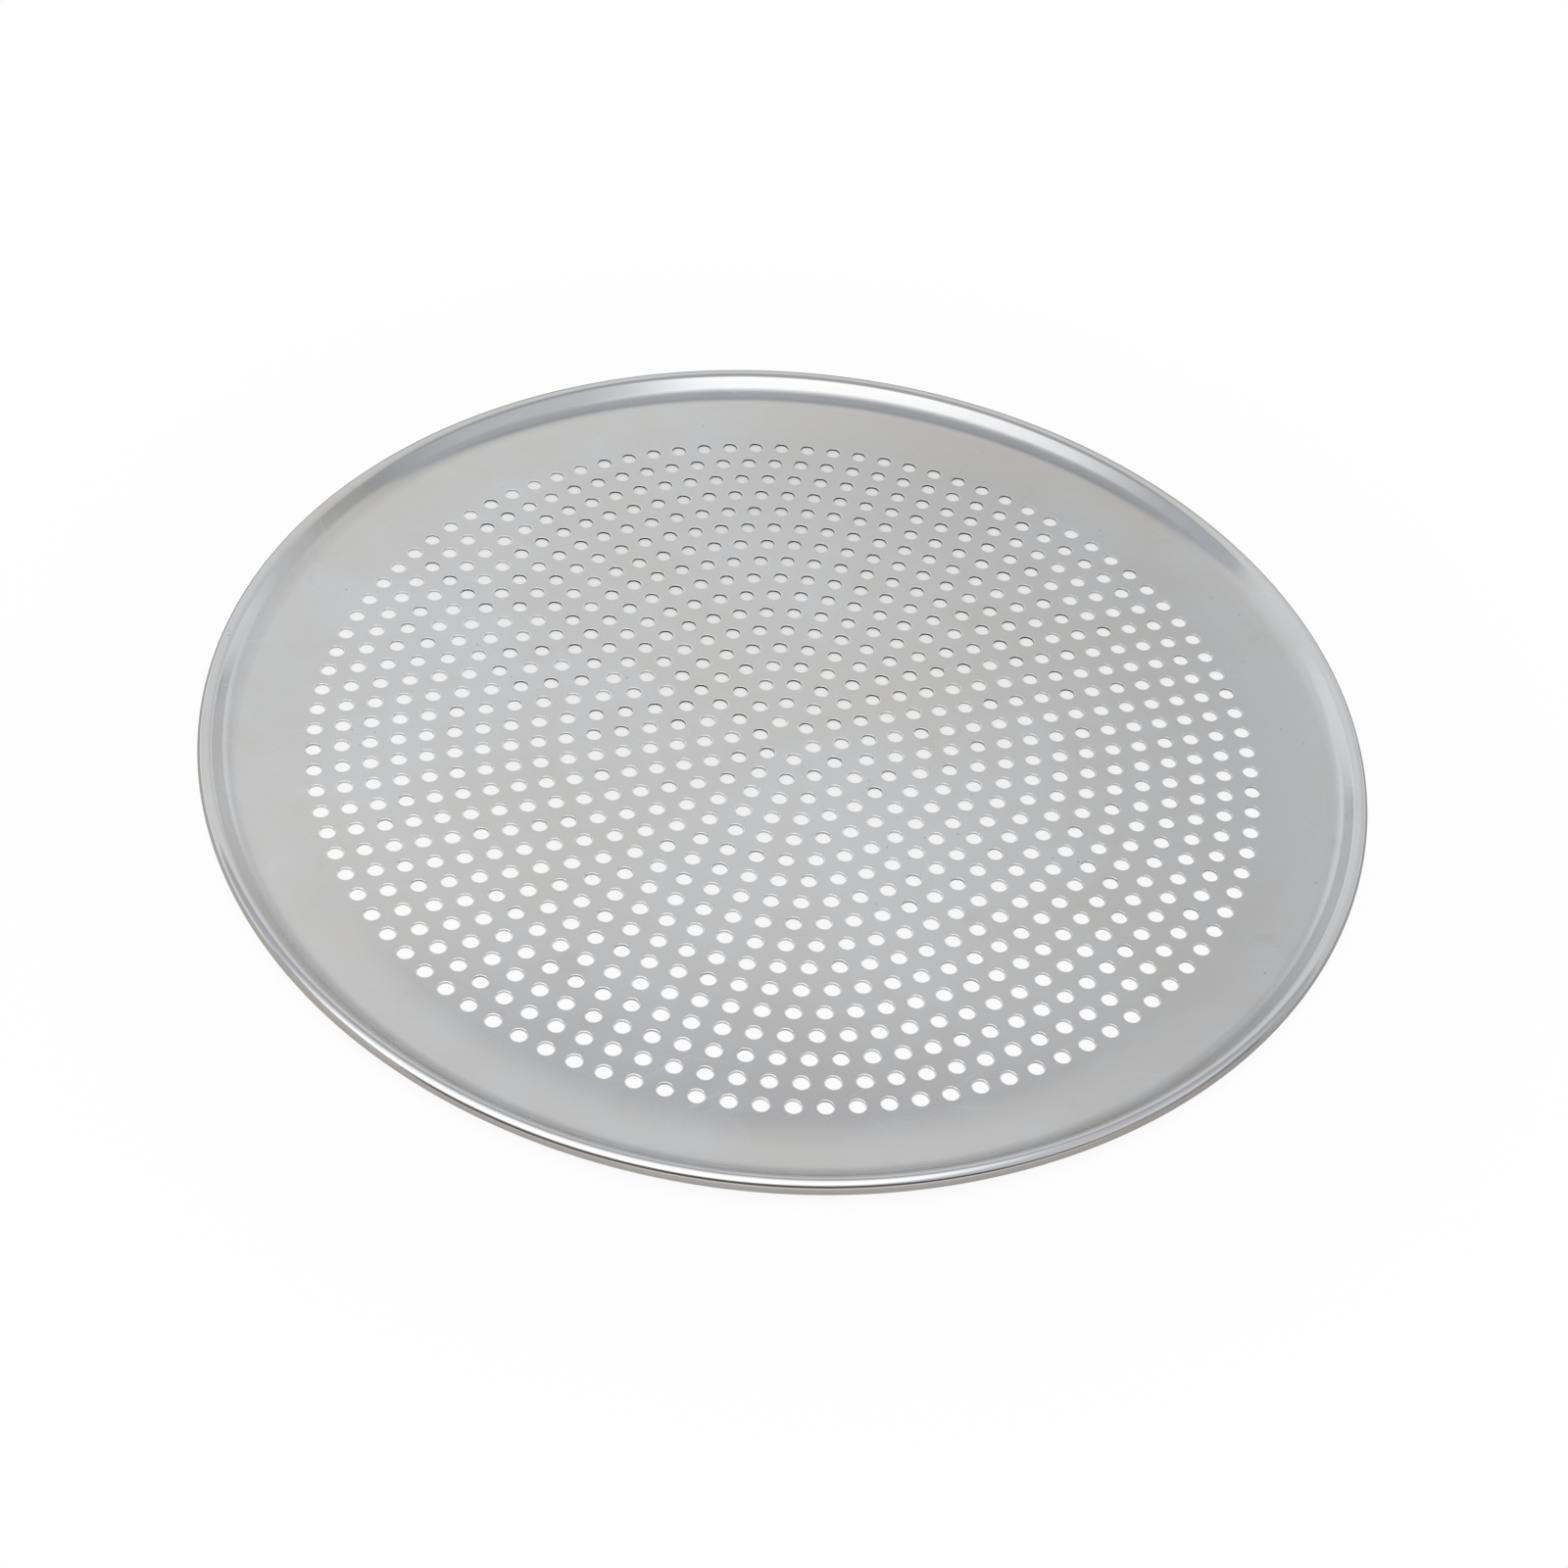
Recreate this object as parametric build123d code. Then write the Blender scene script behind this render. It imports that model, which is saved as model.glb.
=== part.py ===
from build123d import *
import math
import os

# A round perforated pizza pan, pressed from one disc of aluminium sheet.
# The flat floor carries rings of punched vent holes. Outside them the sheet sweeps up gently,
# bends into a short steep side, and is rolled outwards and down into a bead round a steel wire.
#
# All lengths are millimetres. The origin is the centre of the floor's underside, +Z is up,
# and the pan stands on z = 0. A clear ray between the vent holes lies along +X.

# Driving dimensions of the pressed sheet. Radii are those of the side that holds the food.
sheet_thickness = 1.0
rim_diameter = 420.0
pan_height = 11.2
sweep_radius = 108.0
sweep_degrees = 11.0
bend_radius = 11.0
side_degrees = 52.0
bead_diameter = 6.0
curl_gap = 0.15

# Driving dimensions of the wire in the bead.
wire_clearance = 0.05
wire_butt_gap = 1.5

# Driving dimensions of the vent holes. Ring n carries n times the first ring's holes.
hole_diameter = 5.5
ring_pitch = 10.0
first_ring_holes = 6
plain_margin = 2.0

# One overrun for every cut that goes right through the sheet.
cut_overrun = 1.0


def along(degrees):
    """Unit vector of a surface that climbs outwards at this slope."""
    angle = math.radians(degrees)
    return Vector(math.cos(angle), math.sin(angle))


def square_to(degrees):
    """Unit vector that stands square on that surface, on the food side."""
    angle = math.radians(degrees)
    return Vector(-math.sin(angle), math.cos(angle))


# The bead's section, in the half plane of radius and height.
bead_outer_radius = bead_diameter / 2
bead_inner_radius = bead_outer_radius - sheet_thickness
bead_centre = Vector(rim_diameter / 2 - bead_outer_radius, pan_height - bead_outer_radius)

# Seen from the bead inwards, the side is straight, then the bend and the sweep ease it to level.
# The straight length takes up whatever height the two curves leave.
side_top = bead_centre + square_to(side_degrees) * bead_outer_radius
sweep_rise = sweep_radius * (1 - along(sweep_degrees).X)
bend_rise = bend_radius * (along(sweep_degrees).X - along(side_degrees).X)
side_rise = side_top.Y - sheet_thickness - sweep_rise - bend_rise
side_foot = side_top - along(side_degrees) * (side_rise / along(side_degrees).Y)
bend_centre = side_foot + square_to(side_degrees) * bend_radius
bend_foot = bend_centre - square_to(sweep_degrees) * bend_radius
sweep_centre = bend_foot + square_to(sweep_degrees) * sweep_radius
floor_radius = sweep_centre.X

# The curl runs on until the sheet's cut edge almost touches the back of the side.
curl_start_degrees = 90 + side_degrees
curl_open_degrees = math.degrees(math.acos((bead_inner_radius - curl_gap) / bead_outer_radius))
curl_turn_degrees = 360 - curl_open_degrees

# The wire fills the bead but for its clearance, and its two ends butt with a small gap.
wire_radius = bead_inner_radius - wire_clearance
wire_gap_degrees = math.degrees(wire_butt_gap / bead_centre.X)

# As many rings of holes as the flat floor takes inside its plain margin.
ring_count = int((floor_radius - plain_margin - hole_diameter / 2) / ring_pitch)


def rising_line(depth):
    """The sheet's line at this depth under its food side, from the axis up to the bead."""
    Line((0, sheet_thickness - depth), (floor_radius, sheet_thickness - depth))
    CenterArc(sweep_centre, sweep_radius + depth, -90, sweep_degrees)
    bend_start_degrees = sweep_degrees - 90
    CenterArc(bend_centre, bend_radius + depth, bend_start_degrees, side_degrees - sweep_degrees)
    lowered = square_to(side_degrees) * depth
    Line(side_foot - lowered, side_top - lowered)


def sheet_section():
    """Half of the sheet's section, closed along the pan's axis."""
    with BuildSketch(Plane.XZ) as section:
        with BuildLine():
            rising_line(0)
            rising_line(sheet_thickness)
            outside = CenterArc(bead_centre, bead_outer_radius, curl_start_degrees, -curl_turn_degrees)
            inside = CenterArc(bead_centre, bead_inner_radius, curl_start_degrees, -curl_turn_degrees)
            Line(outside @ 1, inside @ 1)
            Line((0, 0), (0, sheet_thickness))
        make_face()
    return section.sketch


def vent_hole_places():
    """Each ring's holes are evenly spaced, half a spacing off the clear ray along +X."""
    places = []
    for ring in range(1, ring_count + 1):
        holes = first_ring_holes * ring
        for hole in range(holes):
            angle = 2 * math.pi * (hole + 0.5) / holes
            places.append(Pos(ring * ring_pitch * math.cos(angle), ring * ring_pitch * math.sin(angle)))
    return places


def make_pan_sheet():
    """The pressed and rolled disc, with every vent hole punched through its floor."""
    blank = revolve(sheet_section(), Axis.Z)
    punch = Pos(0, 0, sheet_thickness / 2) * Cylinder(hole_diameter / 2, sheet_thickness + 2 * cut_overrun)
    return blank - [place * punch for place in vent_hole_places()]


def make_rim_wire():
    """The round steel wire bent into a ring inside the bead."""
    with BuildSketch(Plane.XZ) as section:
        with Locations(bead_centre):
            Circle(wire_radius)
    return revolve(section.sketch, Axis.Z, revolution_arc=360 - wire_gap_degrees)


os.makedirs("parts", exist_ok=True)
export_step(make_pan_sheet(), "parts/pan_sheet.step")
export_step(make_rim_wire(), "parts/rim_wire.step")
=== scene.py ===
import math

import bpy
import numpy as np
from mathutils import Matrix, Vector
from mathutils.geometry import delaunay_2d_cdt


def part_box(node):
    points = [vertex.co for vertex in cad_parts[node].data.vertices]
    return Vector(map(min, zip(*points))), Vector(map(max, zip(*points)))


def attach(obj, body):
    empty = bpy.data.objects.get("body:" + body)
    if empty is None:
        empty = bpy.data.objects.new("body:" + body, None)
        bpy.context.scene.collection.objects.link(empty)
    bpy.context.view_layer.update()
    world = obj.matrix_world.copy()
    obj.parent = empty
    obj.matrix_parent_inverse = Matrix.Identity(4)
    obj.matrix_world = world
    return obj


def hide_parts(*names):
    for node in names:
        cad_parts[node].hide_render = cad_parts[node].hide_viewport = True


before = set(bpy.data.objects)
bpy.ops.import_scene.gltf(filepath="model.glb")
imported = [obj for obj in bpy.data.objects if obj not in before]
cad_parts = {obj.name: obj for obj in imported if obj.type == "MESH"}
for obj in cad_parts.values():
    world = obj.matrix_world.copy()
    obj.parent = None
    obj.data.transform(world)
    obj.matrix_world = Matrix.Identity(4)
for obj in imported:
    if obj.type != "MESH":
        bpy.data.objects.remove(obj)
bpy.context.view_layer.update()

# Pressed sheet
# One disc of 1 mm aluminium. The vents are punched first. Pressing then gives the disc its gently
# swept margin and short side, and the edge is rolled outwards and down into a bead.
_, sheet_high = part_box("pan_sheet")
sheet_thickness = 0.001
sweep_radius = 0.108
sweep_degrees = 11
bend_radius = 0.011
side_degrees = 52
bead_radius = 0.003
curl_gap = 0.00015
cut_edge_round = 0.00015

sweep_steps = 8
bend_steps = 10
side_steps = 3
bead_steps = 32
core_steps = 14
edge_steps = 2
rim_segments = 360


def slope(degrees):
    """Unit vector, in radius and height, of a surface that climbs outwards at this slope."""
    return np.array([math.cos(math.radians(degrees)), math.sin(math.radians(degrees))])


def face_of(degrees):
    """Unit vector square to that surface, on the food side."""
    return slope(degrees + 90)


core_radius = bead_radius - sheet_thickness
bead_centre = np.array([sheet_high.x - bead_radius, sheet_high.z - bead_radius])
side_top = bead_centre + face_of(side_degrees) * bead_radius
sweep_rise = sweep_radius * (1 - slope(sweep_degrees)[0])
bend_rise = bend_radius * (slope(sweep_degrees)[0] - slope(side_degrees)[0])
side_rise = side_top[1] - sheet_thickness - sweep_rise - bend_rise
side_foot = side_top - slope(side_degrees) * side_rise / slope(side_degrees)[1]
bend_centre = side_foot + face_of(side_degrees) * bend_radius
sweep_centre = bend_centre + face_of(sweep_degrees) * (sweep_radius - bend_radius)
curl_turn = 360 - math.degrees(math.acos((core_radius - curl_gap) / bead_radius))
cut_turn = curl_turn - math.degrees(cut_edge_round / bead_radius)


def margin_and_side(depth, facing):
    """Points and normals of the margin and side, this deep under the food side, going outwards."""
    stretch = []
    for degrees in np.linspace(0, sweep_degrees, sweep_steps + 1):
        stretch.append((sweep_centre - face_of(degrees) * (sweep_radius + depth), face_of(degrees) * facing))
    for degrees in np.linspace(sweep_degrees, side_degrees, bend_steps + 1)[1:]:
        stretch.append((bend_centre - face_of(degrees) * (bend_radius + depth), face_of(degrees) * facing))
    normal = face_of(side_degrees)
    for share in np.linspace(0, 1, side_steps + 1)[1:-1]:
        stretch.append((side_foot + (side_top - side_foot) * share - normal * depth, normal * facing))
    return stretch


def round_bead(radius, facing, steps):
    """Points and normals round the bead, from the side's top over the outside to the cut edge."""
    stretch = []
    for turn in np.linspace(0, cut_turn, steps + 1):
        outward = face_of(side_degrees - turn)
        stretch.append((bead_centre + outward * radius, outward * facing))
    return stretch


def cut_edge():
    """Points and normals across the sheet's cut edge, whose two corners are slightly rounded."""
    outward = face_of(side_degrees - cut_turn)
    onward = slope(side_degrees - cut_turn)
    stretch = []
    for share in np.linspace(0, 1, edge_steps + 1)[1:]:
        normal = outward * math.cos(share * math.pi / 2) + onward * math.sin(share * math.pi / 2)
        corner = bead_centre + outward * (bead_radius - cut_edge_round)
        stretch.append((corner + normal * cut_edge_round, normal))
    for share in np.linspace(0, 1, edge_steps + 1)[:-1]:
        normal = onward * math.cos(share * math.pi / 2) - outward * math.sin(share * math.pi / 2)
        corner = bead_centre + outward * (core_radius + cut_edge_round)
        stretch.append((corner + normal * cut_edge_round, normal))
    return stretch


section = margin_and_side(0, 1)
section += round_bead(bead_radius, 1, bead_steps)
section += cut_edge()
section += reversed(round_bead(core_radius, -1, core_steps))
section += reversed(margin_and_side(sheet_thickness, -1))

# Each vent has an edge that the punch drew down into a small round, a plain wall, and a broken
# edge underneath.
vent_radius = 0.00275
ring_pitch = 0.01
ring_count = 17
first_ring_vents = 6
drawn_edge = 0.00042
broken_edge = 0.0001
vent_segments = 24
drawn_steps = 3
weld_distance = 1e-7


def vent_places():
    """Centre of each vent: ring n has n times the first ring's vents."""
    places = []
    for ring in range(1, ring_count + 1):
        vents = first_ring_vents * ring
        for vent in range(vents):
            bearing = 2 * math.pi * (vent + 0.5) / vents
            places.append((ring * ring_pitch * math.cos(bearing), ring * ring_pitch * math.sin(bearing)))
    return np.array(places)


def vent_section():
    """Radius, height and normal down one vent's wall, from the food side to the underside."""
    rows = []
    for share in np.linspace(0, 1, drawn_steps + 1):
        inward, upward = math.sin(share * math.pi / 2), math.cos(share * math.pi / 2)
        radius = vent_radius + drawn_edge * (1 - inward)
        rows.append((radius, sheet_thickness - drawn_edge * (1 - upward), -inward, upward))
    rows.append((vent_radius, broken_edge, -1, 0))
    rows.append((vent_radius + broken_edge, 0, 0, -1))
    return rows


def circle(count):
    """Points of a unit circle, counter-clockwise."""
    angles = np.arange(count) * 2 * math.pi / count
    return np.stack([np.cos(angles), np.sin(angles)], axis=1)


def strips(first, rows, count):
    """Quads between rings of vertices that follow each other row by row."""
    here = np.arange(count)
    there = np.roll(here, -1)
    quads = []
    for row in range(rows - 1):
        a, b = first + row * count, first + (row + 1) * count
        quads.append(np.stack([a + here, b + here, b + there, a + there], axis=1))
    return np.concatenate(quads)


def pressed_sheet_mesh():
    """One closed mesh of the whole sheet, with the true normal of the surface at every vertex."""
    rim = circle(rim_segments)
    points, normals, quads = [], [], []
    for (radius, height), (out, up) in section:
        points.append(np.column_stack([rim * radius, np.full(rim_segments, height)]))
        normals.append(np.column_stack([rim * out, np.full(rim_segments, up)]))
    quads.append(strips(0, len(section), rim_segments))
    vent_rows = vent_section()
    around = circle(vent_segments)
    first = len(section) * rim_segments
    food_rings, under_rings = [np.arange(rim_segments)], [np.arange(rim_segments) + first - rim_segments]
    for centre in vent_places():
        for radius, height, out, up in vent_rows:
            points.append(np.column_stack([centre + around * radius, np.full(vent_segments, height)]))
            normals.append(np.column_stack([around * out, np.full(vent_segments, up)]))
        quads.append(strips(first, len(vent_rows), vent_segments)[:, ::-1])
        food_rings.append(np.arange(vent_segments) + first)
        first += len(vent_rows) * vent_segments
        under_rings.append(np.arange(vent_segments) + first - vent_segments)
    points, normals = np.concatenate(points), np.concatenate(normals)
    food_side, underside = np.concatenate(food_rings), np.concatenate(under_rings)
    loops, start = [], 0
    for ring in food_rings:
        loops.append(list(range(start, start + len(ring))))
        start += len(ring)
    flat = [Vector(point) for point in points[food_side, :2]]
    keep_inside = 1
    _, _, triangles, came_from, _, lies_in = delaunay_2d_cdt(flat, [], loops, keep_inside, weld_distance)
    web = [triangle for triangle, owners in zip(triangles, lies_in) if len(owners) == 1]
    web = np.array([origin[0] for origin in came_from])[np.array(web)]
    faces = np.concatenate(quads).tolist() + food_side[web].tolist() + underside[web[:, ::-1]].tolist()
    mesh = bpy.data.meshes.new("pressed_sheet")
    mesh.from_pydata(points.tolist(), [], faces)
    mesh.shade_smooth()
    mesh.normals_split_custom_set_from_vertices(normals.tolist())
    return mesh


class Wire:
    """An output socket that Python's own operators turn into Math nodes."""

    def __init__(self, socket):
        self.socket = socket

    def maths(self, operation, *others):
        """A Math node on this wire and the others, in that order."""
        node = self.socket.id_data.nodes.new("ShaderNodeMath")
        node.operation = operation
        for place, term in enumerate([self, *others]):
            feed(node.inputs[place], term)
        return Wire(node.outputs[0])

    def __add__(self, other):
        return self.maths("ADD", other)

    def __sub__(self, other):
        return self.maths("SUBTRACT", other)

    def __rsub__(self, other):
        return self * -1 + other

    def __mul__(self, other):
        return self.maths("MULTIPLY", other)

    def __truediv__(self, other):
        return self.maths("DIVIDE", other)

    def __pow__(self, other):
        return self.maths("POWER", other)

    __radd__ = __add__
    __rmul__ = __mul__


def feed(socket, value):
    """Links a wire to a socket, or sets the socket's own value."""
    if isinstance(value, Wire):
        socket.id_data.links.new(value.socket, socket)
    else:
        socket.default_value = value


class Finish:
    """The node tree of one material or of the world."""

    def __init__(self, owner):
        owner.use_nodes = True
        self.tree = owner.node_tree
        self.tree.nodes.clear()

    def add(self, kind, settings=None, sockets=None, output=0):
        """One node: its settings are set first, then its sockets. Returns a wire from one output."""
        node = self.tree.nodes.new(kind)
        for name, value in (settings or {}).items():
            if name == "stops":
                while len(node.color_ramp.elements) < len(value):
                    node.color_ramp.elements.new(1)
                for element, (place, colour) in zip(node.color_ramp.elements, value):
                    element.position, element.color = place, (*colour, 1)
            else:
                setattr(node, name, value)
        for name, value in (sockets or {}).items():
            feed(node.inputs[name], value)
        return Wire(node.outputs[output]) if node.outputs else None

    def mix(self, share, colour, other):
        """From one colour to the other by this share."""
        return self.add("ShaderNodeMix", {"data_type": "RGBA"}, {0: share, 6: colour, 7: other}, 2)

    def scaled(self, colour, factor):
        """The colour made brighter or darker."""
        return self.add("ShaderNodeVectorMath", {"operation": "SCALE"}, {0: colour, "Scale": factor})

    def rise(self, value, start, end, low=0.0, high=1.0):
        """Goes smoothly from low to high while the value goes from start to end."""
        ends = {"Value": value, "From Min": start, "From Max": end, "To Min": low, "To Max": high}
        return self.add("ShaderNodeMapRange", {"interpolation_type": "SMOOTHSTEP"}, ends)

    def noise(self, place, scale, detail=2.0, roughness=0.5):
        """A cloudy pattern between 0 and 1."""
        sockets = {"Vector": place, "Scale": scale, "Detail": detail, "Roughness": roughness}
        return self.add("ShaderNodeTexNoise", {"normalize": True}, sockets)

    def scratches(self, x, y, degrees, spacing, length):
        """Sparse fine lines that run in about one direction of the XY plane."""
        cosine, sine = math.cos(math.radians(degrees)), math.sin(math.radians(degrees))
        onward, sideways = x * cosine + y * sine, y * cosine - x * sine
        lines = self.noise(self.place(onward / length, sideways / spacing, degrees), 1.0, 1.0)
        return self.rise(lines, 0.70, 0.76)

    def distance(self, x, y, centre_x, centre_y):
        """How far the point is from a centre in the XY plane."""
        return ((x - centre_x) ** 2 + (y - centre_y) ** 2) ** 0.5

    def place(self, x, y, z):
        """A place or direction from its x, y and z."""
        return self.add("ShaderNodeCombineXYZ", None, {0: x, 1: y, 2: z})

    def parts(self, place):
        """The x, y and z of a place or direction."""
        node = self.add("ShaderNodeSeparateXYZ", None, {0: place}).socket.node
        return [Wire(output) for output in node.outputs]


aluminium = bpy.data.materials.new("satin_aluminium")
finish = Finish(aluminium)
where = finish.add("ShaderNodeTexCoord", output="Object")
x, y, z = finish.parts(where)
radius = (x * x + y * y) ** 0.5

# The distance to the nearest vent follows from the pattern: the ring first, then the vent in it.
ring = (radius / ring_pitch).maths("ROUND").maths("MAXIMUM", 1).maths("MINIMUM", ring_count)
turned = y.maths("ARCTAN2", x) / (2 * math.pi) * first_ring_vents * ring - 0.5
vent = turned.maths("ROUND")
aside = (turned - vent) * radius / ring * (2 * math.pi / first_ring_vents)
outside = radius - ring * ring_pitch
from_vent = (aside * aside + outside * outside) ** 0.5
vent_luck = finish.add("ShaderNodeTexWhiteNoise", None, {"Vector": finish.place(ring, vent, 0.5)})

# The oxide skin is mottled in warm and cool greys, with a few brown stains and dark specks.
warm_grey, cool_grey = (0.745, 0.735, 0.719, 1), (0.779, 0.789, 0.802, 1)
stain_brown, speck_brown = (0.70, 0.685, 0.65, 1), (0.40, 0.37, 0.33, 1)
clouds_per_metre, smears_per_metre = 8.0, 46.0
stains_per_metre, crumbs_per_metre = 27.0, 210.0
clouds = finish.noise(where, clouds_per_metre, 3.0, 0.55)
smears = finish.noise(where, smears_per_metre, 4.0, 0.6)
tone = finish.mix(finish.rise(clouds * 0.65 + smears * 0.35, 0.36, 0.64), warm_grey, cool_grey)
stained = finish.rise(finish.noise(where, stains_per_metre, 5.0, 0.68), 0.57, 0.72)
tone = finish.mix(stained * 0.4, tone, stain_brown)
crumbs = finish.add("ShaderNodeTexVoronoi", None, {"Vector": where, "Scale": crumbs_per_metre}, "Distance")
specks = finish.rise(crumbs, 0.14, 0.06) * finish.rise(clouds, 0.5, 0.56) * finish.rise(smears, 0.55, 0.6)
tone = finish.mix(specks * 0.5, tone, speck_brown)

# The floor is painted darker towards one side of the pan, a painted shade, with a darker brownish
# patch beside it, and a patch opposite is painted brighter, a painted light. The painted shade and
# the darker patch fade out towards the side.
shaded_side_way = math.radians(-9.03)
shaded_side_reach = 0.18
shaded_side_end, shaded_side_fade = 0.197, 0.007
dark_patch_place, dark_patch_grey = (0.092, 0.165), (0.69, 0.678, 0.66, 1)
dark_patch_end, dark_patch_fade = 0.194, 0.005
lit_patch_place = (-0.185, -0.045)
patch_reach, dark_patch_core, lit_patch_core = 0.11, 0.03, 0.02
# Painted shade: the floor grows darker towards one side.
shaded_side = finish.rise(x * math.cos(shaded_side_way) + y * math.sin(shaded_side_way), 0.0, shaded_side_reach)
shaded_side = shaded_side * finish.rise(radius, shaded_side_end + shaded_side_fade, shaded_side_end)
dark_patch = finish.rise(finish.distance(x, y, *dark_patch_place), patch_reach, dark_patch_core)
dark_patch = dark_patch * finish.rise(radius, dark_patch_end + dark_patch_fade, dark_patch_end)
# Painted light: the floor is brighter round one place on the opposite side.
lit_patch = finish.rise(finish.distance(x, y, *lit_patch_place), patch_reach, lit_patch_core)
tone = finish.mix(dark_patch * 0.6, tone, dark_patch_grey)
tone = finish.scaled(tone, 1 - shaded_side * 0.18 + lit_patch * 0.05)

# Rolling left a straight grain in the sheet, the forming tools burnished lines round the margin
# and the side, and use added fine scratches, each run with its degrees, spacing and length.
forming_start, forming_end = 0.178, 0.203
grain_along, grain_across = 25, 1300
lines_per_metre, lines_round = 2600, 2
scratch_runs = [(25, 0.003, 0.035), (112, 0.0035, 0.025), (160, 0.003, 0.03)]
formed = finish.rise(radius, forming_start, forming_end)
grain = finish.noise(finish.place(x * grain_along, y * grain_across, z * grain_across), 1.0, 3.0, 0.6)
line_x = radius * lines_per_metre + x / radius * lines_round
line_y = y / radius * lines_round
lines = finish.noise(finish.place(line_x, line_y, z * lines_per_metre), 1.0, 2.0, 0.6)
scratches = sum(finish.scratches(x, y, *run) for run in scratch_runs)
wear = (grain - 0.5) * 0.05 + (lines - 0.5) * formed * 0.09 + scratches * 0.03
tone = finish.scaled(tone, wear + 1)

# The punch drew the top of each vent down into a burnished round, which is painted brighter, partly
# as a painted highlight. Each wall is painted dark, partly torn metal and partly painted shade,
# darkest round one place towards the back and varying at random from vent to vent. Some vents have
# residue round them.
residue_grey = (0.52, 0.50, 0.47, 1)
# The dark wall colour is partly torn metal and partly painted shade.
clean_cut, torn_and_shaded_wall = (0.56, 0.555, 0.545, 1), (0.035, 0.034, 0.032, 1)
vents_end = 0.175
wall_top, wall_foot, wall_fade = 0.00065, 0.00008, 0.00015
shade_spot_place, shade_spot_reach, shade_spot_core = (0.03, 0.118), 0.17, 0.04
# Round each vent the floor is painted brighter: a burnished edge and a painted highlight.
burnish_and_highlight = finish.rise(from_vent, vent_radius + drawn_edge * 1.4, vent_radius + drawn_edge * 0.4)
residue = finish.rise(from_vent, vent_radius * 1.55, vent_radius * 1.05) * finish.rise(vent_luck, 0.5, 1.0)
tone = finish.mix(residue * 0.16, tone, residue_grey)
tone = finish.scaled(tone, burnish_and_highlight * 0.3 + 1)
punched = finish.rise(z, wall_top + wall_fade, wall_top) * finish.rise(z, wall_foot * 0.25, wall_foot)
punched = punched * finish.rise(radius, vents_end + wall_fade, vents_end)
# Painted shade on the vent walls, darkest round one place towards the back.
shade_spot = finish.rise(finish.distance(x, y, *shade_spot_place), shade_spot_reach, shade_spot_core)
torn_and_shaded = finish.rise(vent_luck * 0.6 + shade_spot * 0.75, 0.35, 0.8)
tone = finish.mix(punched, tone, finish.mix(torn_and_shaded, clean_cut, torn_and_shaded_wall))

# The rolled sheet is satin. The tools left it smoother on the side, and smoothest on the bead.
bead_start, bead_blend = 0.203, 0.003
floor_satin = 0.27
dents_per_metre = 120.0
relief_depth = 0.00001
rolled = finish.rise(radius, bead_start, bead_start + bead_blend)
satin = floor_satin - formed * 0.1 - rolled * 0.07 + (lines - 0.5) * formed * 0.06
satin = satin + (smears - 0.5) * 0.08 + (grain - 0.5) * 0.05
satin = satin + stained * 0.04 + scratches * 0.04 - burnish_and_highlight * 0.08 + punched * 0.2
dents = finish.noise(where, dents_per_metre, 2.0, 0.5)
height = grain * 0.12 + lines * formed * 0.4 + dents * 0.6 - scratches * 0.3
relief = finish.add("ShaderNodeBump", None, {"Strength": 0.5, "Distance": relief_depth, "Height": height})
shader = finish.add("ShaderNodeBsdfPrincipled", None, {
    "Base Color": tone, "Metallic": 1.0, "Roughness": satin, "Normal": relief
})
finish.add("ShaderNodeOutputMaterial", None, {"Surface": shader})

pressed_sheet = bpy.data.objects.new("pressed_sheet", pressed_sheet_mesh())
bpy.context.scene.collection.objects.link(pressed_sheet)
pressed_sheet.data.materials.append(aluminium)
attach(pressed_sheet, "root")
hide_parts("pan_sheet")

# Rim wire
# A round steel wire, bent into a ring whose ends butt. The edge of the sheet is rolled round it,
# and it stiffens the rim.
wire_clearance = 0.00005
wire_radius = core_radius - wire_clearance
wire_gap = 0.0015
wire_sides = 16


def rim_wire_mesh():
    """A round bar along the bead's centre line, closed at its two butting ends."""
    arc = 2 * math.pi - wire_gap / bead_centre[0]
    bearings = np.linspace(0, arc, rim_segments + 1)
    along = np.stack([np.cos(bearings), np.sin(bearings)], axis=1)
    points = []
    for out, up in circle(wire_sides):
        radius, height = bead_centre[0] + wire_radius * out, bead_centre[1] + wire_radius * up
        points.append(np.column_stack([along * radius, np.full(len(along), height)]))
    here = np.arange(rim_segments)
    faces = []
    for side in range(wire_sides):
        a, b = side * len(along), (side + 1) % wire_sides * len(along)
        faces += np.stack([a + here, a + here + 1, b + here + 1, b + here], axis=1).tolist()
    ends = np.arange(wire_sides) * len(along)
    faces += [ends.tolist(), (ends + rim_segments)[::-1].tolist()]
    mesh = bpy.data.meshes.new("bead_wire")
    mesh.from_pydata(np.concatenate(points).tolist(), [], faces)
    mesh.shade_smooth()
    return mesh


drawn_steel = bpy.data.materials.new("drawn_steel")
finish = Finish(drawn_steel)
where = finish.add("ShaderNodeTexCoord", output="Object")
scale_grey, zinc_grey = (0.42, 0.41, 0.40, 1), (0.58, 0.58, 0.57, 1)
marks_per_metre = 600.0
scale_marks = finish.noise(where, marks_per_metre, 3.0, 0.6)
tone = finish.mix(scale_marks, scale_grey, zinc_grey)
shader = finish.add("ShaderNodeBsdfPrincipled", None, {
    "Base Color": tone, "Metallic": 1.0, "Roughness": 0.3 + scale_marks * 0.15
})
finish.add("ShaderNodeOutputMaterial", None, {"Surface": shader})

bead_wire = bpy.data.objects.new("bead_wire", rim_wire_mesh())
bpy.context.scene.collection.objects.link(bead_wire)
bead_wire.data.materials.append(drawn_steel)
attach(bead_wire, "root")
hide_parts("rim_wire")

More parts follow.
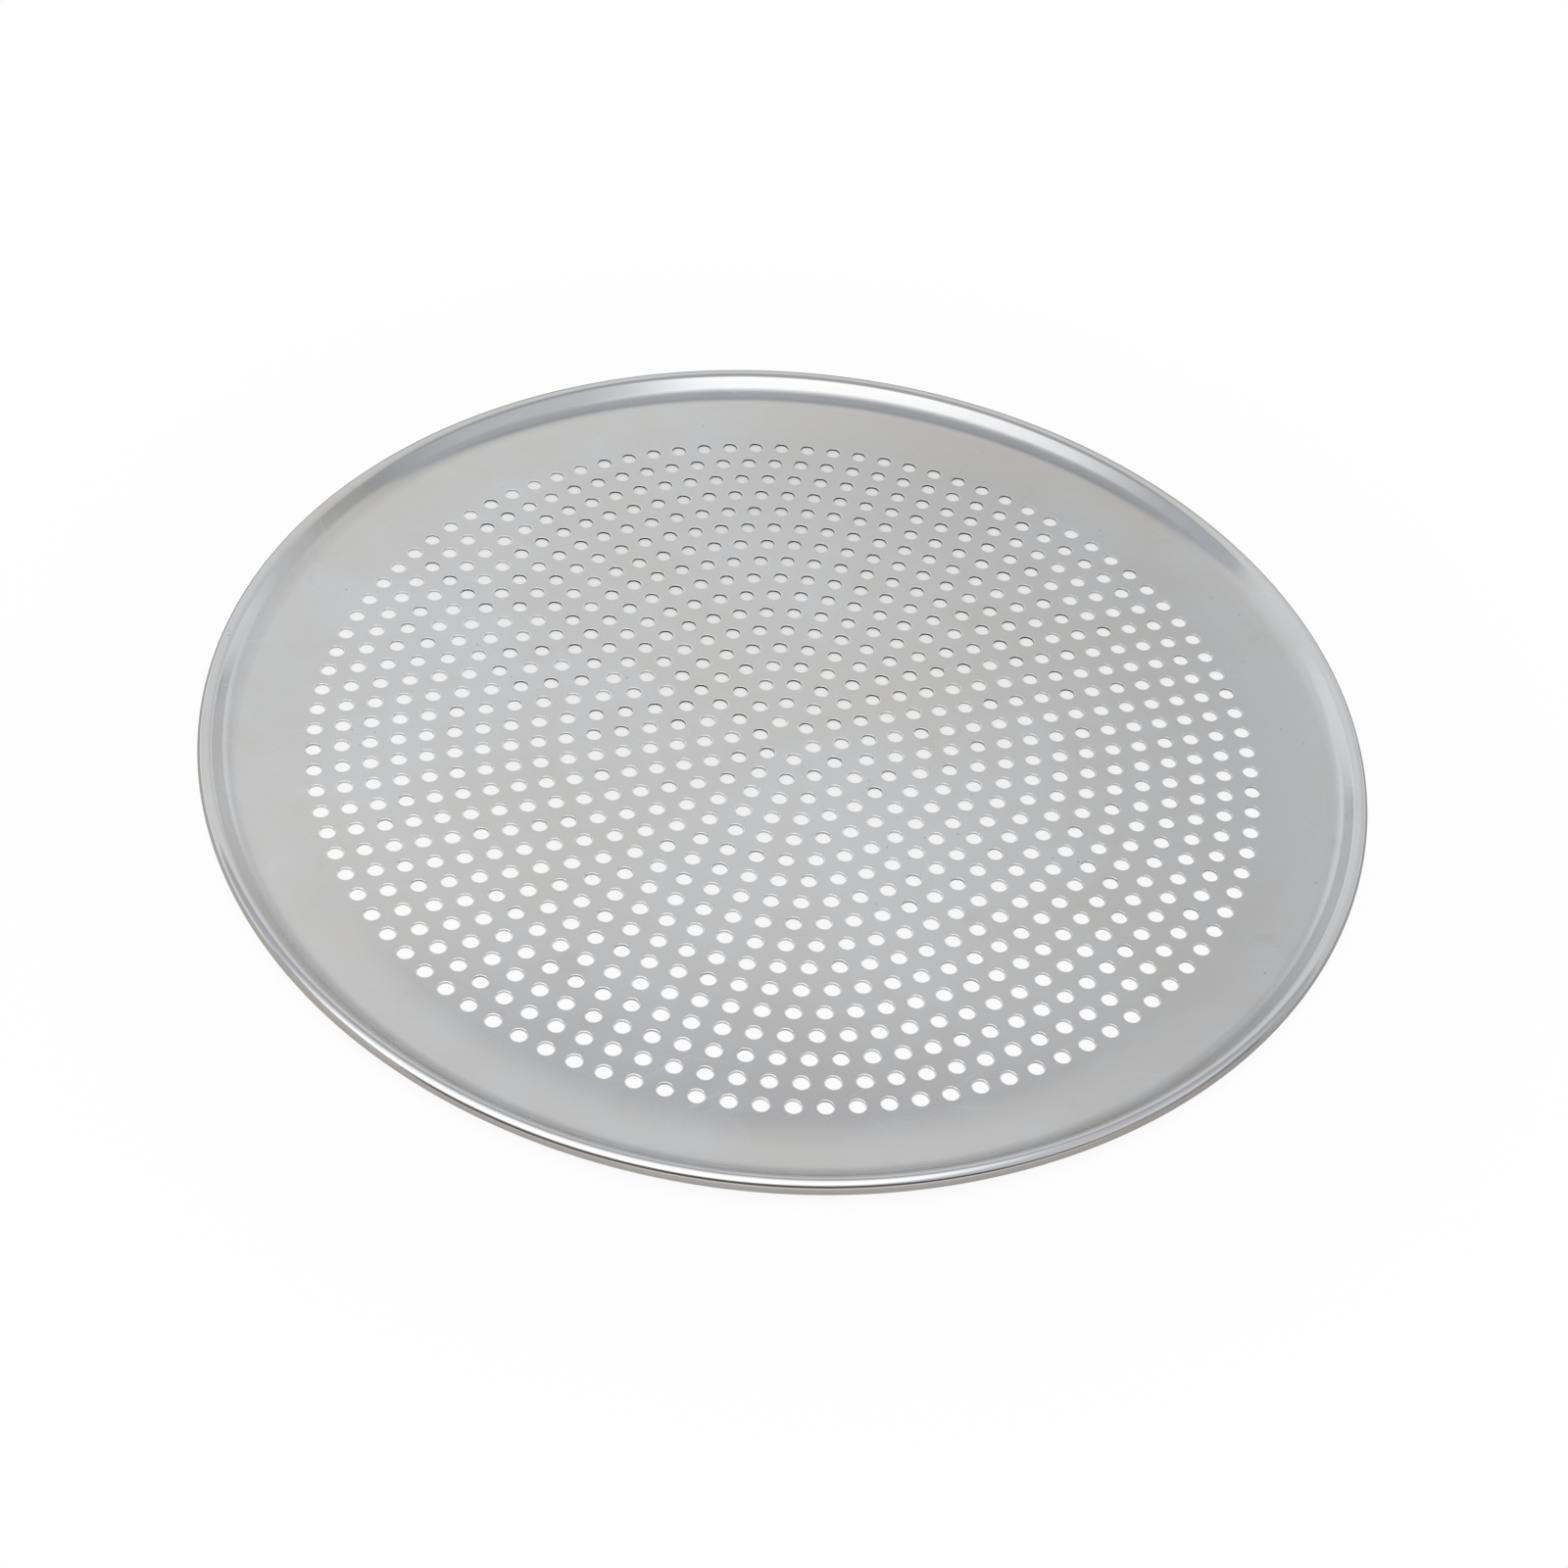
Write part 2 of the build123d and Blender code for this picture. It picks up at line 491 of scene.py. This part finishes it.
# Table
# The pan stands on a plain white table that runs out to white all round. The table keeps the
# pan's soft shadow, which fades out beyond the rim. Under the floor the shadow is partly painted,
# by less added white near one place, where it is dimmest.
table_reach = 12
dim_place = (0.0235, 0.1294)
under_pan, shaded_table = (0.9, 0.89, 0.88, 1), (0.62, 0.59, 0.56, 1)
pan_edge, table_start, shadow_end = 0.203, 0.212, 0.35
table_mesh = bpy.data.meshes.new("table")
table_signs = [(-1, -1), (1, -1), (1, 1), (-1, 1)]
table_corners = [(table_reach * right, table_reach * back, 0) for right, back in table_signs]
table_mesh.from_pydata(table_corners, [], [(0, 1, 2, 3)])
table = bpy.data.objects.new("table", table_mesh)
bpy.context.scene.collection.objects.link(table)
white_top = bpy.data.materials.new("white_table")
finish = Finish(white_top)
x, y = finish.parts(finish.add("ShaderNodeTexCoord", output="Object"))[:2]
radius = (x * x + y * y) ** 0.5
from_dim = finish.distance(x, y, *dim_place)
seen = finish.add("ShaderNodeLightPath", output="Is Camera Ray")
mirrored = finish.add("ShaderNodeLightPath", output="Is Glossy Ray")
beyond = finish.rise(radius, pan_edge, table_start)
# Painted shadow under the pan: the white added under the floor is least at the dim place.
through = (from_dim * 2.5 + 0.25).maths("MINIMUM", 0.9) * (1 - beyond)
around_pan = beyond * seen * finish.rise(radius, table_start, shadow_end, 0.98, 1.0)
lift = through * (seen + mirrored) + around_pan
tint = finish.mix(beyond, under_pan, shaded_table)
matt = finish.add("ShaderNodeBsdfDiffuse", None, {"Color": tint})
paper_white = finish.add("ShaderNodeEmission", None, {"Color": (1, 1, 1, 1), "Strength": 1.0})
surface = finish.add("ShaderNodeMixShader", None, {0: lift, 1: matt, 2: paper_white})
finish.add("ShaderNodeOutputMaterial", None, {"Surface": surface})
table.data.materials.append(white_top)

# Light
# A white studio: a far wall that the floor of the pan mirrors, a darker ceiling, and one wide soft
# box close above the near half of the pan.
view_bearing = math.radians(19.053)
turn = Matrix.Rotation(-view_bearing, 3, "Z")
across = turn @ Vector((1, 0, 0))
away = turn @ Vector((0, 1, 0))

studio = bpy.data.worlds.new("studio")
finish = Finish(studio)


def toward(direction, axis):
    """How far a direction points along an axis, from -1 to 1."""
    return finish.add("ShaderNodeVectorMath", {"operation": "DOT_PRODUCT"}, {0: direction, 1: axis}, "Value")


# Pitch goes from 0 at the far horizon, over the pan at 0.5, to 1 at the horizon behind the camera.
direction = finish.add("ShaderNodeTexCoord", output="Generated")
sideways, forward = toward(direction, across), toward(direction, away)
upward = finish.parts(direction)[2]
pitch = upward.maths("ARCTAN2", forward) / math.pi
aside = sideways * sideways
pitch = pitch - aside * (0.045 - sideways * 0.05)
room = finish.add("ShaderNodeValToRGB", {"stops": [
    (0.0, (0.46, 0.46, 0.47)),
    (0.08, (0.56, 0.565, 0.575)),
    (0.13, (0.61, 0.615, 0.63)),
    (0.17, (0.69, 0.695, 0.71)),
    (0.25, (0.71, 0.71, 0.71)),
    (0.31, (0.715, 0.715, 0.715)),
    (0.37, (0.715, 0.71, 0.70)),
    (0.41, (0.68, 0.68, 0.67)),
    (0.44, (0.60, 0.60, 0.61)),
    (0.47, (0.39, 0.40, 0.43)),
    (0.53, (0.41, 0.42, 0.45)),
    (0.62, (0.50, 0.51, 0.54)),
    (0.73, (0.54, 0.54, 0.56)),
    (0.80, (0.45, 0.44, 0.43)),
    (0.87, (0.50, 0.46, 0.42)),
    (0.91, (0.78, 0.72, 0.66)),
    (1.0, (0.78, 0.72, 0.66)),
]}, {0: pitch})

# Low down, the side walls are brighter than the far wall. Higher up, the right one is darker, and
# behind the camera the studio is open and dark.
dark_grey = (0.12, 0.115, 0.11, 1)
edges = finish.rise(aside, 0.02, 0.2)
balance = edges * finish.rise(pitch, 0.17, 0.0, -0.05, 0.62) + finish.rise(sideways, -0.9, 0.8, 1.09, 0.95)
balance = balance - finish.rise(sideways, 0.78, 0.95) * finish.rise(pitch, 0.14, 0.3, 0.0, 0.28)
room = finish.scaled(room, balance)
slant = pitch + sideways * 0.06
opening = finish.rise(slant, 0.75, 0.78) * finish.rise(slant, 0.93, 0.90) * finish.rise(aside, 0.75, 0.6)
room = finish.mix(opening, room, dark_grey)
seen = finish.add("ShaderNodeLightPath", output="Is Camera Ray")
room = finish.mix(seen, room, (1, 1, 1, 1))
sky = finish.add("ShaderNodeBackground", None, {"Color": room, "Strength": 1.0})
finish.add("ShaderNodeOutputWorld", None, {"Surface": sky})
bpy.context.scene.world = studio

# The soft box is brightest in its left and middle part and fades out towards its edges.
box_height = 0.35
box_left, box_right = -0.9, 0.75
box_near, box_far = -0.56, 0.15
cloth_blue, cloth_white = (0.95, 0.975, 1.04, 1), (1, 1, 1, 1)
box_mesh = bpy.data.meshes.new("soft_box")
box_corners = [(box_left, box_near, 0), (box_right, box_near, 0)]
box_corners += [(box_right, box_far, 0), (box_left, box_far, 0)]
box_mesh.from_pydata(box_corners, [], [(3, 2, 1, 0)])
soft_box = bpy.data.objects.new("soft_box", box_mesh)
bpy.context.scene.collection.objects.link(soft_box)
soft_box.matrix_world = Matrix.LocRotScale(Vector((0, 0, box_height)), turn, None)
soft_box.visible_camera = False
glow = bpy.data.materials.new("soft_box_cloth")
finish = Finish(glow)
x, y = finish.parts(finish.add("ShaderNodeTexCoord", output="Object"))[:2]
ends = finish.rise(x, -0.85, -0.6, 0.3, 1.0) * finish.rise(x, 0.12, 0.27, 1.0, 0.1)
sides = finish.rise(y - x * 0.1, 0.03, -0.23) * finish.rise(y - x * 0.3, -0.56, -0.44)
share = ends * sides
level = share * 0.8 + 0.47 + finish.rise(y, 0.1, -0.15) * (0.1 + finish.rise(x, 0.4, 0.52) * 0.12)
cloth = finish.scaled(finish.mix(share, cloth_blue, cloth_white), level)
lamp = finish.add("ShaderNodeEmission", None, {"Color": cloth, "Strength": 1.0})
finish.add("ShaderNodeOutputMaterial", None, {"Surface": lamp})
soft_box.data.materials.append(glow)

# Camera
# It looks down at the pan at about 45 degrees and is rolled a few degrees. It aims a little to the
# near side of the middle of the floor, with the photograph's field of view.
view_elevation = math.radians(44.61)
view_roll = math.radians(6.065)
view_distance = 1.0465
aim_right, aim_away = 0.00065, -0.02222
sensor_width = 36
focal_pixels, photo_pixels = 2983, 1600
camera_data = bpy.data.cameras.new("camera")
camera_data.sensor_width = sensor_width
camera_data.lens = sensor_width * focal_pixels / photo_pixels
camera = bpy.data.objects.new("camera", camera_data)
bpy.context.scene.collection.objects.link(camera)
look = away * math.cos(view_elevation) - Vector((0, 0, math.sin(view_elevation)))
up = across.cross(look)
aim = across * aim_right + away * aim_away + Vector((0, 0, sheet_thickness / 2))
rolled_right = across * math.cos(view_roll) + up * math.sin(view_roll)
rolled_up = up * math.cos(view_roll) - across * math.sin(view_roll)
facing = Matrix((rolled_right, rolled_up, -look)).transposed()
camera.matrix_world = Matrix.LocRotScale(aim - look * view_distance, facing, None)
bpy.context.scene.camera = camera
bpy.context.scene.view_settings.view_transform = "Standard"
